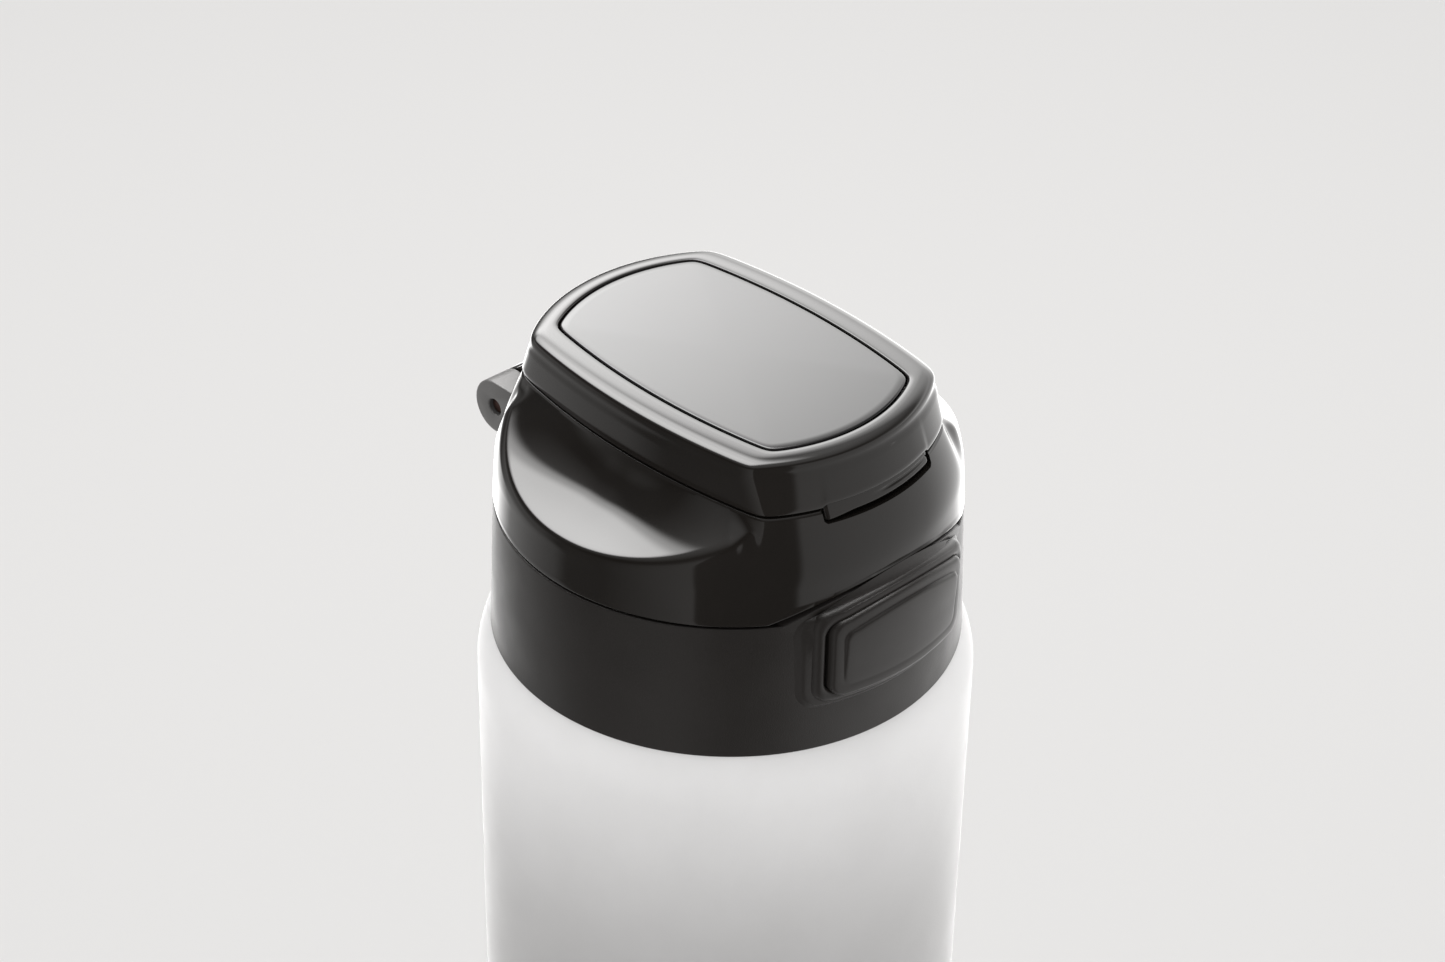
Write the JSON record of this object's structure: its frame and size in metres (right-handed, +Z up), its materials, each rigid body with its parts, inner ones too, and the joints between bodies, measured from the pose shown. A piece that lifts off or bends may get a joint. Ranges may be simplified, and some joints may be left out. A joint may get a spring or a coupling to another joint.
{
  "type": "sports squeeze bottle",
  "caption": "Squeezable sports bottle with a screw-on cap whose sprung flip lid opens with a push button and covers a soft mouthpiece.",
  "frame": {"origin": "centre of the ring-shaped foot, on the surface the bottle stands on", "axes": "+Z up the bottle's axis; the button faces -Y and the lid's hinge is at +Y; X runs across the button"},
  "size_m": [0.073, 0.0779, 0.2316],
  "materials": {
    "frosted_white": "milky translucent, satin",
    "gloss_black": "piano-black, polished",
    "matte_black": "fine-textured matte",
    "liner_black": "plain moulded",
    "clear_silicone": "milky silicone",
    "grey_silicone": "matte silicone",
    "spring_steel": "bright wire",
    "pin_steel": "dark browned steel"
  },
  "bodies": {
    "bottle": {"bottle_body": "frosted_white"},
    "seal_ring": {"neck_gasket": "clear_silicone"},
    "cap": {"cap_base": "matte_black", "dome_shell": "gloss_black", "button_bezel": "matte_black", "spout": "clear_silicone", "spout_grommet": "grey_silicone", "spout_valve": "grey_silicone", "vent_valve": "grey_silicone", "hinge_pin": "pin_steel", "hinge_spring": "spring_steel"},
    "lid": {"flip_lid": "gloss_black", "lid_plate": "gloss_black", "lid_liner": "liner_black", "latch_hook": "liner_black", "spout_seal": "grey_silicone"},
    "button": {"button_cap": "matte_black", "latch_slider": "liner_black", "button_spring_left": "spring_steel", "button_spring_right": "spring_steel"}
  },
  "joints": [
    {"name": "cap_lift", "type": "slide", "parent": "bottle", "child": "seal_ring", "axis": [0, 0, 1], "range_m": [0, 0.02]},
    {"name": "cap_turn", "type": "hinge", "parent": "seal_ring", "child": "cap", "pos_m": [0, 0, 0.187], "axis": [0, 0, 1], "range_deg": [0, 1440]},
    {"name": "lid_flip", "type": "hinge", "parent": "cap", "child": "lid", "pos_m": [0, 0.0372, 0.2095], "axis": [-1, 0, 0], "range_deg": [0, 155]},
    {"name": "button_press", "type": "slide", "parent": "cap", "child": "button", "axis": [0, 1, 0], "range_m": [0, 0.0022], "stiffness_N_per_m": 400, "springref_m": -0.002}
  ],
  "couplings": [
    {"joint": "cap_lift", "follows": "cap_turn", "m_per_rad": 0.00079577}
  ]
}
